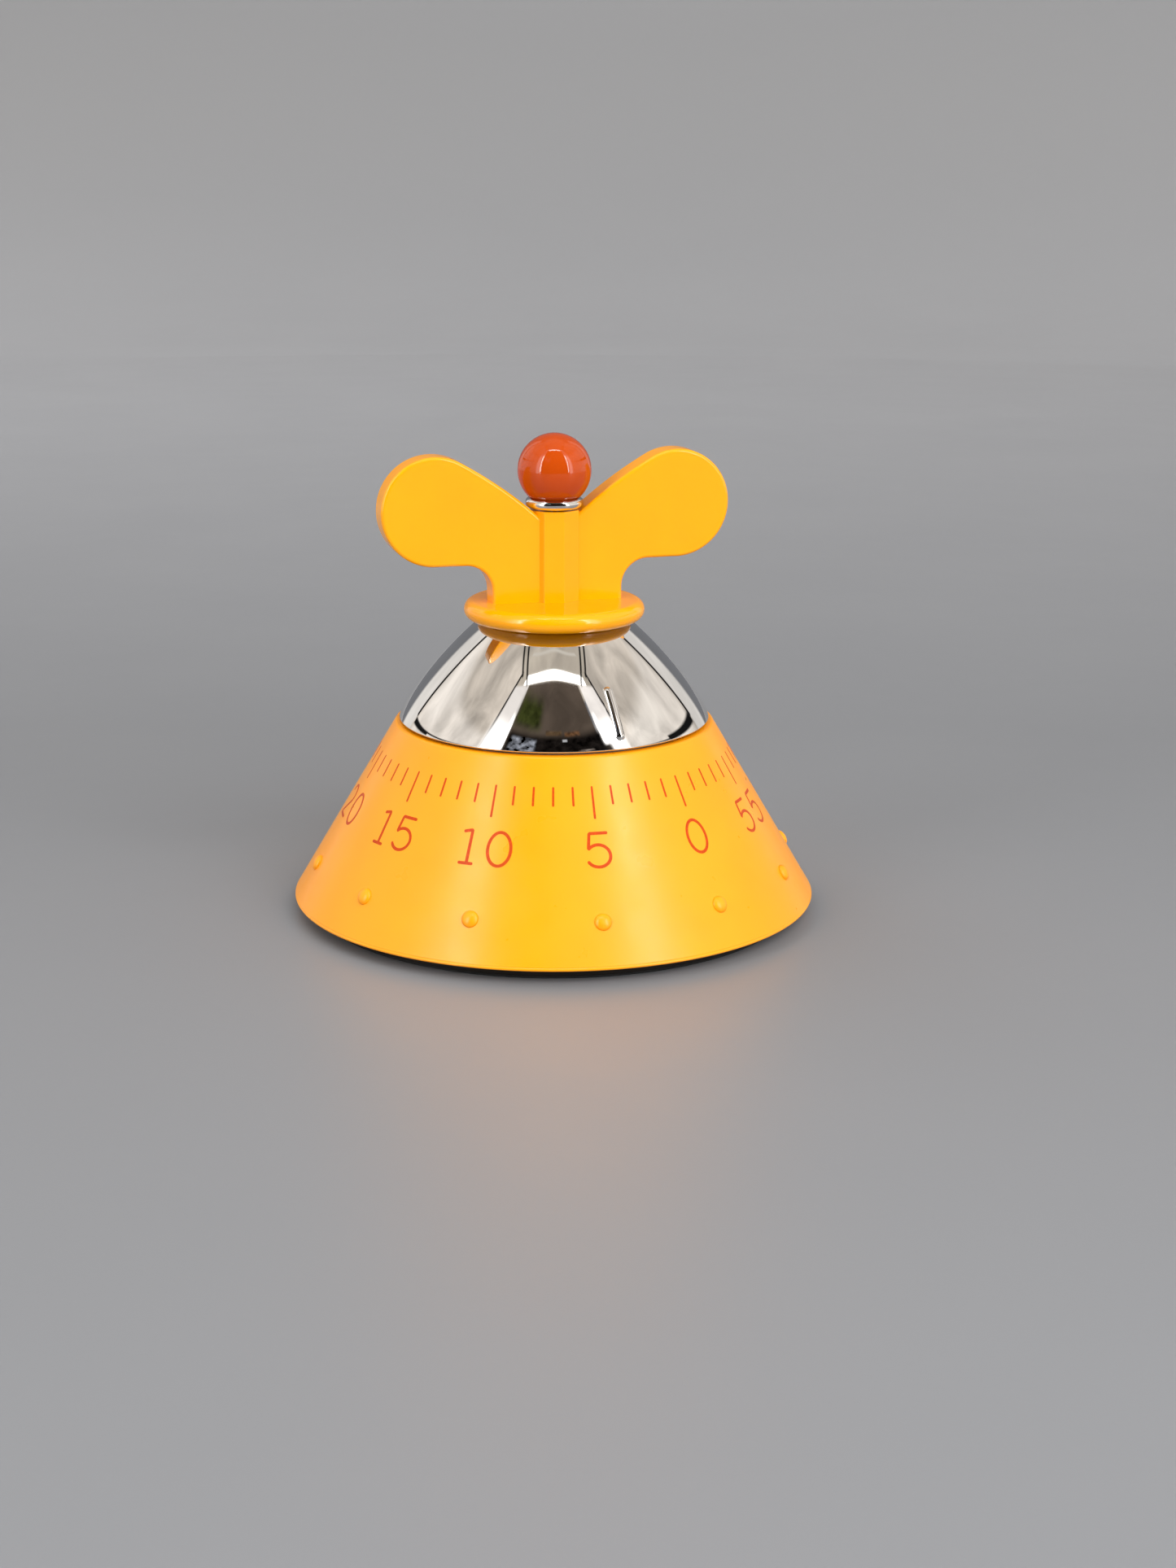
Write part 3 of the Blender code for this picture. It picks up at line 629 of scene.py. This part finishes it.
def make_dome():
    """The dome with its index mark, in one grid of rows that is finer round the mark."""
    bottom_round = 0.35
    mark_low, mark_high, mark_end, mark_reach = 41.75, 51.15, 0.9, 3.4
    low = DOME_LOW + bottom_round
    fine_low, fine_high = mark_low - 0.5, mark_high + 0.5
    heights = [*np.linspace(DOME_HIGH, fine_high, 34)[:-1], *np.linspace(fine_high, fine_low, 96)[:-1],
               *np.linspace(fine_low, low, 26)]
    outside = [(dome_radius(z), z) for z in heights]
    edge = arc((dome_radius(low) - bottom_round, low), bottom_round, -12, -90, 6)
    ceiling = DOME_HIGH - DOME_WALL
    inside = [(dome_radius(z + bottom_round) - DOME_WALL, z) for z in np.linspace(DOME_LOW, ceiling, 24)]
    hole = [(DOME_HOLE, ceiling), (DOME_HOLE, DOME_HIGH)]
    profile = outside + edge + inside + hole
    turns = [*np.linspace(-mark_reach, mark_reach, 89)[:-1],
             *np.linspace(mark_reach, 360 - mark_reach, 276)[:-1]]
    points = []
    for row, (radius, height) in enumerate(profile):
        normal = (1.0, 0.0)
        if 0 < row < len(outside) - 1:
            drop = Vector(profile[row + 1]) - Vector(profile[row - 1])
            normal = Vector((-drop.y, drop.x)).normalized()
        beyond = max(0.0, height - (mark_high - mark_end), mark_low + mark_end - height)
        beyond /= max(normal[0], 0.2)
        for turn in turns:
            lift = 0.0
            if row < len(outside) and abs(turn) < mark_reach:
                lift = ridge_rise(radius * math.radians(turn), beyond)
            at = polar(radius + lift * normal[0], INDEX_ANGLE + turn)
            points.append((*at, height + lift * normal[1]))
    dome = new_object("dome_shell", points, grid_faces(len(profile), len(turns), ring=True))
    tidy_mesh(dome)
    smooth(dome, 50)
    place(dome, "dial", "chrome", CHROME, "dome")


# ---- Knob, collar and ball ----


def wing_outline():
    """Both wings as one outline in (x, z): neck, fillet, round lobe, then a long crest down to the post."""
    fillet = (NECK_X + NECK_FILLET, LOBE_Z - LOBE_RADIUS - NECK_FILLET)
    foot = (NECK_X, FLANGE_HIGH - 1.0)
    lobe = arc((LOBE_X, LOBE_Z), LOBE_RADIUS, -90, 90 + LOBE_SLOPE, 80)
    crest_x, crest_z = lobe[-1]
    back_x, back_z = polar(WING_CREST, 90 + LOBE_SLOPE)
    steepest = math.sin(math.radians(LOBE_SLOPE)) + (crest_x - WING_ROOT_X) / WING_CREST
    end = 90 + math.degrees(math.asin(steepest))
    crest = arc((crest_x - back_x, crest_z - back_z), WING_CREST, 90 + LOBE_SLOPE, end, 24)
    right = [foot] + arc(fillet, NECK_FILLET, 180, 90, 24) + lobe[1:] + crest[1:]
    return right + [(-x, z) for x, z in reversed(right)]


def inset(outline, distance):
    """The outline moved inwards by a distance, point by point along its mitres."""
    moved = []
    count = len(outline)
    for k in range(count):
        before = Vector(outline[k]) - Vector(outline[k - 1])
        after = Vector(outline[(k + 1) % count]) - Vector(outline[k])
        before.normalize()
        after.normalize()
        middle = (before + after).normalized()
        across = Vector((-middle.y, middle.x))
        reach = distance / max(0.4, across.dot(Vector((-before.y, before.x))))
        moved.append(tuple(Vector(outline[k]) + across * reach))
    return moved


def rounded_slab(name, outline, half, edge, segments):
    """A slab between y = -half and half with rounded edges all round its (x, z) outline."""
    rings = []
    for k in range(segments + 1):
        turn = math.pi / 2 * k / segments
        depth = half - edge * (1 - math.sin(turn))
        rings.append((inset(outline, edge * (1 - math.cos(turn))), depth))
    ordered = [(flat, -y) for flat, y in reversed(rings)] + rings
    points = [(x, y, z) for flat, y in ordered for x, z in flat]
    slab = new_object(name, points, capped_faces(len(ordered), len(outline)))
    tidy_mesh(slab, 0.0002)
    return slab


def eight_sided_post():
    """The post between the wings, with lightly rounded corners and a small round at its top edge."""
    corner = 0.35
    around = []
    for k in range(8):
        middle = POST_ANGLE + 22.5 + 45 * k
        reach = POST_RADIUS - corner / math.cos(math.radians(22.5))
        around += arc(polar(reach, middle), corner, middle - 22.5, middle + 22.5, 4)
    top_round = 0.3
    rows = [(1.0, FLANGE_HIGH - 1.5)]
    for k in range(6):
        turn = math.pi / 2 * k / 5
        shrink = 1 - top_round * (1 - math.cos(turn)) / POST_RADIUS
        rows.append((shrink, POST_TOP - top_round * (1 - math.sin(turn))))
    points = [(x * s, y * s, z) for s, z in rows for x, y in around]
    post = new_object("tool_post", points, capped_faces(len(rows), len(around)))
    tidy_mesh(post, 0.0002)
    return post


def make_knob():
    rim = (FLANGE_HIGH - FLANGE_LOW) / 2
    middle = (FLANGE_HIGH + FLANGE_LOW) / 2
    edge = arc((FLANGE_RADIUS - rim, middle), rim, 90, -90, 25)
    spigot = [(SPIGOT_RADIUS, FLANGE_LOW), (SPIGOT_RADIUS, SPIGOT_LOW + 0.3),
              (SPIGOT_RADIUS - 0.3, SPIGOT_LOW), (0, SPIGOT_LOW)]
    knob = turned("winged_knob", [(0, FLANGE_HIGH)] + edge + spigot)
    join(knob, rounded_slab("tool_wings", wing_outline(), WING_THICKNESS / 2, WING_EDGE, 7))
    join(knob, eight_sided_post())
    cut(knob, cylinder(STUD_HOLE, SOCKET_HIGH - 0.3, POST_TOP + 1))
    socket = cylinder(SOCKET_WIDTH / math.sqrt(2), SPIGOT_LOW - 1, SOCKET_HIGH, steps=4)
    cut(knob, socket)
    smooth(knob, 30)
    even_flats(knob)
    place(knob, "dial", "yellow_plastic", KNOB_YELLOW, "knob")


def make_collar():
    """A chrome ring on the post, hollowed on top so that the ball nests in it."""
    low = POST_TOP + GAP
    tube = arc((COLLAR_RADIUS, low + COLLAR_TUBE), COLLAR_TUBE, 60, -90, 30)
    seat = [(radius, BALL_Z - math.sqrt((BALL_RADIUS + GAP) ** 2 - radius ** 2))
            for radius in np.linspace(COLLAR_INSIDE, COLLAR_INSIDE + 1, 5)]
    collar = turned("collar", tube + [(COLLAR_INSIDE, low)] + seat, 160, ring=True)
    smooth(collar, 40)
    place(collar, "dial", "chrome", CHROME, "collar_ring")


def make_ball():
    """A ball with a stud hole from below, whose mouth has a small chamfer."""
    mouth = 0.25
    opening = math.degrees(math.acos((STUD_HOLE + mouth) / BALL_RADIUS))
    outside = arc((0, BALL_Z), BALL_RADIUS, 90, -opening, 72)
    hole = [(STUD_HOLE, outside[-1][1] + mouth), (STUD_HOLE, BALL_Z + 0.5), (0, BALL_Z + 0.5)]
    ball = turned("ball", [(0, outside[0][1])] + outside[1:] + hole, 144)
    smooth(ball, 40)
    place(ball, "dial", "orange_plastic", BALL_ORANGE, "ball_finial")


# ---- Bottom ----


def make_bottom():
    """The cover with two shallow rings and three screw wells, and the ring that the timer stands on."""
    low, high = COVER_LOW, COVER_HIGH
    groove = 0.4
    relief = [(34.0, low), (33.6, low + groove), (30.4, low + groove), (30.0, low),
              (12.0, low), (11.6, low + groove), (4.0, low + groove), (3.6, low), (0, low)]
    edge = arc((COVER_RADIUS - 0.4, low + 0.4), 0.4, 0, -90, 6)
    cover = turned("bottom_cover", [(0, high), (COVER_RADIUS - 0.3, high), (COVER_RADIUS, high - 0.3)]
                   + edge + relief, 192)
    for angle in COVER_SCREW_ANGLES:
        stepped = [(0, 4.0), (1.3, 4.0), (1.3, 1.9), (2.6, 1.9), (2.6, 0.5), (0, 0.5)]
        cut(cover, turned("tool_well", stepped, 48, at=polar(COVER_SCREW_CIRCLE, angle)))
    cut(cover, cylinder(1.2, low - 1, high + 0.5))
    smooth(cover, 30)
    place(cover, "base", "dark_plastic", DARK, "base_cover")
    soft = 0.2
    ring = [(FOOT_INSIDE, FOOT_HIGH), (FOOT_OUTSIDE, FOOT_HIGH)]
    ring += arc((FOOT_OUTSIDE - soft, soft), soft, 0, -90, 6)
    ring += arc((FOOT_INSIDE + soft, soft), soft, -90, -180, 6)
    foot = turned("rubber_foot", ring, 192, ring=True)
    smooth(foot, 40)
    place(foot, "base", "rubber", RUBBER, "foot_ring")


# ---- Floor, light and camera ----

CAMERA_TURN = 15.5


def stage_material():
    """Pale grey paper with painted shade and light in its colour: darker round the timer as a painted
    shadow, lighter behind it as painted light, and darker again far up its sweep as painted shade.

    The stops are distances behind the timer in metres and the painted tones there.
    """
    made = Finish("pale_floor", (0.330, 0.343, 0.369), 0.42)
    made.vary_roughness(made.noise(60, 4.0), 0.38, 0.46)
    made.add_bump(made.noise(0.7, 4.0), 0.012)
    forward = made.node("ShaderNodeMapping")
    forward.inputs["Rotation"].default_value = (0, 0, math.radians(CAMERA_TURN))
    parts = made.node("ShaderNodeSeparateXYZ")
    made.link(made.place, forward.inputs["Vector"])
    made.link(forward.outputs["Vector"], parts.inputs[0])
    painted_tones = made.node("ShaderNodeValToRGB")
    ramp = painted_tones.color_ramp
    # Painted light and shade: tones under one darken the floor round the timer as a painted shadow, tones
    # over one lighten it further back as painted light, and they fall again up the sweep as painted shade.
    stops = ((-0.05, 0.90), (0.06, 0.86), (0.15, 0.85), (0.32, 0.99), (0.6, 1.20), (0.85, 1.36),
             (1.13, 1.46), (1.35, 1.36), (1.5, 1.26), (1.72, 1.15))
    near, far = stops[0][0], stops[-1][0]
    while len(ramp.elements) < len(stops):
        ramp.elements.new(0.5)
    for element, (distance, tone) in zip(ramp.elements, stops):
        element.position = (distance - near) / (far - near)
        element.color = (*scaled(made.color, tone), 1.0)
    made.link(made.remap(parts.outputs["Y"], near, far), painted_tones.inputs["Fac"])
    made.link(painted_tones.outputs["Color"], made.shader.inputs["Base Color"])
    return made.material


def make_stage():
    """A floor that rises behind into a soft sweep; the risen part shows only to the camera."""
    floor_reach, sweep, height = 1150.0, 900.0, 900.0
    finish = stage_material()
    steps = 96
    rings = [0.0, *np.geomspace(60, floor_reach, 12)]
    flat = [(r, 0.0) for r in rings]
    rise = [(floor_reach + sweep * math.sin(a), sweep * (1 - math.cos(a)))
            for a in np.linspace(0, math.radians(80), 20)]
    rise.append((rise[-1][0] + 40, rise[-1][1] + height))
    for name, profile in (("floor", flat), ("backdrop", rise)):
        points = [(*polar(r, 360 * k / steps), z) for r, z in profile for k in range(steps)]
        made = new_object(name, points, grid_faces(len(profile), steps))
        tidy_mesh(made, 0.001)
        made.data.shade_smooth()
        made.data.materials.append(finish)
        if name == "backdrop":
            made.visible_diffuse = made.visible_glossy = made.visible_shadow = False


class Sky:
    """The studio round the timer as world shading: patches of light laid over each other.

    A direction's side is its turn from the front of the camera's view line, positive on the right, and its
    height is its rise above the horizon, both in degrees.
    """

    def __init__(self):
        world = bpy.data.worlds.new("studio")
        bpy.context.scene.world = world
        world.use_nodes = True
        self.tree = world.node_tree
        self.tree.nodes.clear()
        direction = self.tree.nodes.new("ShaderNodeTexCoord").outputs["Generated"]
        parts = self.tree.nodes.new("ShaderNodeSeparateXYZ")
        self.tree.links.new(direction, parts.inputs[0])
        back = self.math("MULTIPLY", parts.outputs["Y"], -1.0)
        turned_to = self.math("DEGREES", self.math("ARCTAN2", parts.outputs["X"], back))
        turned_to = self.math("ADD", turned_to, CAMERA_TURN)
        self.side = self.math("WRAP", turned_to, 180.0, -180.0)
        self.height = self.math("DEGREES", self.math("ARCSINE", parts.outputs["Z"]))
        sideways = self.math("MULTIPLY", self.math("SINE", self.math("RADIANS", self.side)),
                             self.math("COSINE", self.math("ARCSINE", parts.outputs["Z"])))
        above = self.math("MAXIMUM", parts.outputs["Z"], 0.001)
        self.overhead = self.math("ABSOLUTE", self.math("DIVIDE", sideways, above))
        self.cloth = self.noise(direction, 3.2, 0.6)
        self.clutter = self.noise(direction, 14.0, 0.0)
        self.color = None

    def noise(self, direction, scale, distortion):
        """A cloudy value from zero to one that changes with direction."""
        cloud = self.tree.nodes.new("ShaderNodeTexNoise")
        cloud.inputs["Scale"].default_value = scale
        cloud.inputs["Detail"].default_value = 5.0
        cloud.inputs["Distortion"].default_value = distortion
        self.tree.links.new(direction, cloud.inputs["Vector"])
        ramp = self.tree.nodes.new("ShaderNodeMapRange")
        ramp.inputs["From Min"].default_value = 0.33
        ramp.inputs["From Max"].default_value = 0.67
        self.tree.links.new(cloud.outputs["Fac"], ramp.inputs["Value"])
        return ramp.outputs["Result"]

    def math(self, operation, a, b=None, c=None):
        """A math node on numbers or sockets."""
        made = self.tree.nodes.new("ShaderNodeMath")
        made.operation = operation
        for socket, value in zip(made.inputs, (a, b, c)):
            if isinstance(value, (int, float)):
                socket.default_value = value
            elif value is not None:
                self.tree.links.new(value, socket)
        return made.outputs[0]

    def between(self, value, low, high, soft):
        """One inside the range and zero outside it, with soft edges."""
        mask = None
        for start, end in ((low - soft, low + soft), (high + soft, high - soft)):
            ramp = self.tree.nodes.new("ShaderNodeMapRange")
            ramp.interpolation_type = "SMOOTHSTEP"
            ramp.inputs["From Min"].default_value = start
            ramp.inputs["From Max"].default_value = end
            self.tree.links.new(value, ramp.inputs["Value"])
            step = ramp.outputs["Result"]
            mask = step if mask is None else self.math("MULTIPLY", mask, step)
        return mask

    def fill(self, color):
        """Starts the sky with one colour all round."""
        start = self.tree.nodes.new("ShaderNodeRGB")
        start.outputs[0].default_value = (*color, 1.0)
        self.color = start.outputs[0]

    def layer(self, sides, heights, color, soft=1.0, tilt=0.0, arch=0.0, overhead=None, mottle=0.0,
              clutter=False, fade=None):
        """Lays a patch over what is there, between two turns and two heights in degrees.

        Tilt lowers it per degree of turn past 60, and arch lowers it with the square of the turn. Overhead
        bounds it between two distances from the middle line of the ceiling, for a ceiling one unit up. Soft
        is the half width of its edges, and fade that of its upper and lower ones where they differ.
        """
        height = self.height
        if tilt:
            past = self.math("SUBTRACT", self.math("ABSOLUTE", self.side), 60.0)
            height = self.math("ADD", height, self.math("MULTIPLY", past, tilt))
        if arch:
            bend = self.math("MULTIPLY", self.math("MULTIPLY", self.side, self.side), arch)
            height = self.math("ADD", height, bend)
        mask = self.math("MULTIPLY", self.between(self.side, *sides, soft),
                         self.between(height, *heights, fade or soft))
        if overhead:
            mask = self.math("MULTIPLY", mask, self.between(self.overhead, *overhead, 0.006))
        mix = self.tree.nodes.new("ShaderNodeMix")
        mix.data_type = "RGBA"
        mix.clamp_factor = True
        self.tree.links.new(mask, mix.inputs["Factor"])
        self.tree.links.new(self.color, mix.inputs["A"])
        mix.inputs["B"].default_value = (*color, 1.0)
        if mottle:
            cloud = self.clutter if clutter else self.cloth
            shade = self.math("MULTIPLY_ADD", cloud, mottle, 1.0 - mottle / 2)
            tint = self.tree.nodes.new("ShaderNodeVectorMath")
            tint.operation = "SCALE"
            tint.inputs[0].default_value = color
            self.tree.links.new(shade, tint.inputs["Scale"])
            self.tree.links.new(tint.outputs[0], mix.inputs["B"])
        self.color = mix.outputs["Result"]

    def finish(self):
        light = self.tree.nodes.new("ShaderNodeBackground")
        output = self.tree.nodes.new("ShaderNodeOutputWorld")
        self.tree.links.new(self.color, light.inputs["Color"])
        self.tree.links.new(light.outputs[0], output.inputs["Surface"])


CREAM = (0.98, 0.91, 0.83)
CREAM_SHADE = (0.70, 0.63, 0.55)
FRAME_WHITE = (1.0, 0.95, 0.91)
LAMP_TINT = (1.0, 0.98, 0.955)
PIPING = (0.01, 0.01, 0.01)


def mirrored(sign, near, far):
    """The turns from near to far on the right, or on the left where sign is negative."""
    return (near, far) if sign > 0 else (-far, -near)


def make_light():
    """A cloth tent: pale side panels edged with dark piping, lit strips round its dark front opening."""
    sky = Sky()
    arch = 0.0027

    # The tent's back and ceiling.
    sky.fill((0.20, 0.205, 0.22))
    sky.layer((-181, 181), (60, 91), (0.57, 0.51, 0.43), mottle=0.5)
    sky.layer((-62, 62), (80.2, 81.4), (0.74, 0.69, 0.61), 0.6, arch=0.002)

    # Its two side panels with their piping, then the front frame and the lit strip on each side of it.
    for sign, strength in ((-1, 1.0), (1, 1.3)):
        sky.layer(mirrored(sign, 131, 146.5), (-20, 50), (0.88, 0.85, 0.81), 2.0, mottle=0.25)
        sky.layer(mirrored(sign, 60, 132), (-20, 80), CREAM_SHADE, 1.0, overhead=(0.39, 90), mottle=0.7)
        sky.layer(mirrored(sign, 61, 130), (-20, 37.5), CREAM, 3.5, mottle=0.45)
        if sign < 0:
            sky.layer((-131, -110), (20, 39), (1.12, 1.05, 0.97), 6.0, mottle=0.4)
        else:
            sky.layer((68, 108), (28, 41), (1.12, 1.05, 0.96), 5.0, mottle=0.4)
        sky.layer(mirrored(sign, 58.6, 60.8), (24, 66.5), PIPING, 0.5)
        sky.layer(mirrored(sign, 130.6, 132.8), (12, 50), PIPING, 0.5)
        sky.layer(mirrored(sign, 58, 131), (26.9, 28.1), PIPING, 0.5, tilt=0.225)
        front = mirrored(sign, 42, 59)
        sky.layer(front, (-20, 70.7), scaled(FRAME_WHITE, 0.9 * strength), 0.8, arch=arch, mottle=0.35)
        sky.layer(front, (-30, 44), scaled(LAMP_TINT, 3.6 * strength), 5.0, fade=9.0)
        strip = mirrored(sign, 42.7, 45.8)
        sky.layer(strip, (-30, 50), scaled(LAMP_TINT, 6.0 * strength), 0.5, fade=6.0)

    # Wider piping on both panels, the band over the opening and the ceiling's seams.
    sky.layer((-131, -110), (25.4, 27.6), PIPING, 0.6, tilt=0.225)
    sky.layer((97, 131), (26.2, 30.4), PIPING, 0.8, tilt=0.225)
    sky.layer((-50, 52), (71.0, 74.2), (5.0, 4.9, 4.7), 0.6, arch=arch)
    for near, far, turn in ((0.318, 0.340, 45), (0.374, 0.396, 57)):
        sky.layer((turn, 100), (60, 76), PIPING, 1.0, overhead=(near, far))
        sky.layer((-100, -turn), (60, 76), PIPING, 1.0, overhead=(near, far))

    # The opening, with a dim room and a few lit things in it.
    sky.layer((-42, 40), (-20, 70.6), (0.115, 0.088, 0.068), 0.7, arch=arch, mottle=0.5)
    sky.layer((38, 49), (-20, 38), (0.05, 0.04, 0.03), 3.5, mottle=0.5)
    sky.layer((-42, -14), (50, 63), (0.040, 0.048, 0.012), 4.0, mottle=0.9, clutter=True)
    sky.layer((-42, 43.5), (-20, 47), (0.010, 0.008, 0.007), 3.0, mottle=1.6, clutter=True)
    sky.layer((-38, -16), (31, 44), (0.20, 0.215, 0.25), 1.5, mottle=2.8, clutter=True)
    sky.layer((-8, 7), (47.6, 50.2), (0.12, 0.075, 0.04), 0.8, mottle=1.2, clutter=True)
    sky.layer((10, 24), (46.8, 49.2), (0.17, 0.085, 0.04), 1.0, mottle=1.6, clutter=True)
    sky.layer((7.5, 11.5), (43.2, 44.8), (0.60, 0.61, 0.64), 0.6)
    sky.layer((20, 33), (33, 35.0), (0.20, 0.17, 0.15), 0.8, mottle=1.8, clutter=True)
    sky.finish()
    add_fills()


def add_lamp(name, size, watts, turn, rise, distance):
    """A rectangular area lamp that faces the timer.

    Turn is measured from the front (-Y) towards +X and rise from level, both in degrees, and distance in
    metres.
    """
    data = bpy.data.lights.new(name, "AREA")
    data.shape = "RECTANGLE"
    data.size, data.size_y = size
    data.energy = watts
    lamp = bpy.data.objects.new(name, data)
    bpy.context.scene.collection.objects.link(lamp)
    turn, rise = math.radians(turn), math.radians(rise)
    away = Vector((math.sin(turn) * math.cos(rise), -math.cos(turn) * math.cos(rise), math.sin(rise)))
    lamp.location = away * distance
    lamp.rotation_euler = away.to_track_quat("Z", "Y").to_euler()
    lamp.visible_camera = False
    return lamp


def add_fills():
    """Two broad soft lamps, beside the camera and behind, that aren't mirrored in the chrome."""
    for name, width, watts, turn, rise, distance in (("front_fill", 0.9, 10.5, 8.0, 33.0, 1.2),
                                                     ("back_fill", 1.0, 3.0, -150.0, 45.0, 1.3)):
        add_lamp(name, (width, width), watts, turn, rise, distance).visible_glossy = False


def add_strip_lamps():
    """Lamps along the sides and the top of the tent's opening, for crisp highlights on the plastic.

    They shine on the plastic alone, because the chrome already mirrors the lit strips of the sky.
    """
    plastic = bpy.data.collections.new("plastic")
    for name in ("cone_shell", "minute_ticks", "minute_numerals", "winged_knob", "ball"):
        plastic.objects.link(bpy.data.objects[name])
    distance, thickness, tall, broad, radiance = 1.0, 0.050, 0.85, 0.46, 13.0
    for name, side, rise, size in (("left_strip", -44.3, 27.0, (thickness, tall)),
                                   ("right_strip", 44.3, 27.0, (1.3 * thickness, tall)),
                                   ("top_strip", 0.0, 72.6, (broad, thickness))):
        watts = radiance * math.pi * size[0] * size[1]
        lamp = add_lamp(name, size, watts, side - CAMERA_TURN, rise, distance)
        lamp.data.color = LAMP_TINT
        lamp.light_linking.receiver_collection = plastic


def make_camera():
    """A camera a little above the timer, at its front left, that looks slightly down at it."""
    place_at = Vector((-137.5, -495.8, 164.4)) * MM
    turn, fall, roll = math.radians(16.285), math.radians(15.13), math.radians(0.28)
    forward = Vector((math.sin(turn) * math.cos(fall), math.cos(turn) * math.cos(fall), -math.sin(fall)))
    level = Vector((math.cos(turn), -math.sin(turn), 0))
    above = level.cross(forward)
    right = level * math.cos(roll) + above * math.sin(roll)
    up = right.cross(forward)
    data = bpy.data.cameras.new("camera")
    data.lens = 58.98
    data.sensor_width = 36.0
    data.clip_start = 0.01
    camera = bpy.data.objects.new("camera", data)
    bpy.context.scene.collection.objects.link(camera)
    axes = Matrix((right, up, -forward)).transposed().to_4x4()
    camera.matrix_world = Matrix.Translation(place_at) @ axes
    bpy.context.scene.camera = camera
    bpy.context.scene.view_settings.view_transform = "Standard"


make_camera()
make_light()
make_stage()
dress_cad_nodes()
make_base()
make_ticks()
make_numerals()
make_dome()
make_knob()
make_collar()
make_ball()
make_bottom()
add_strip_lamps()
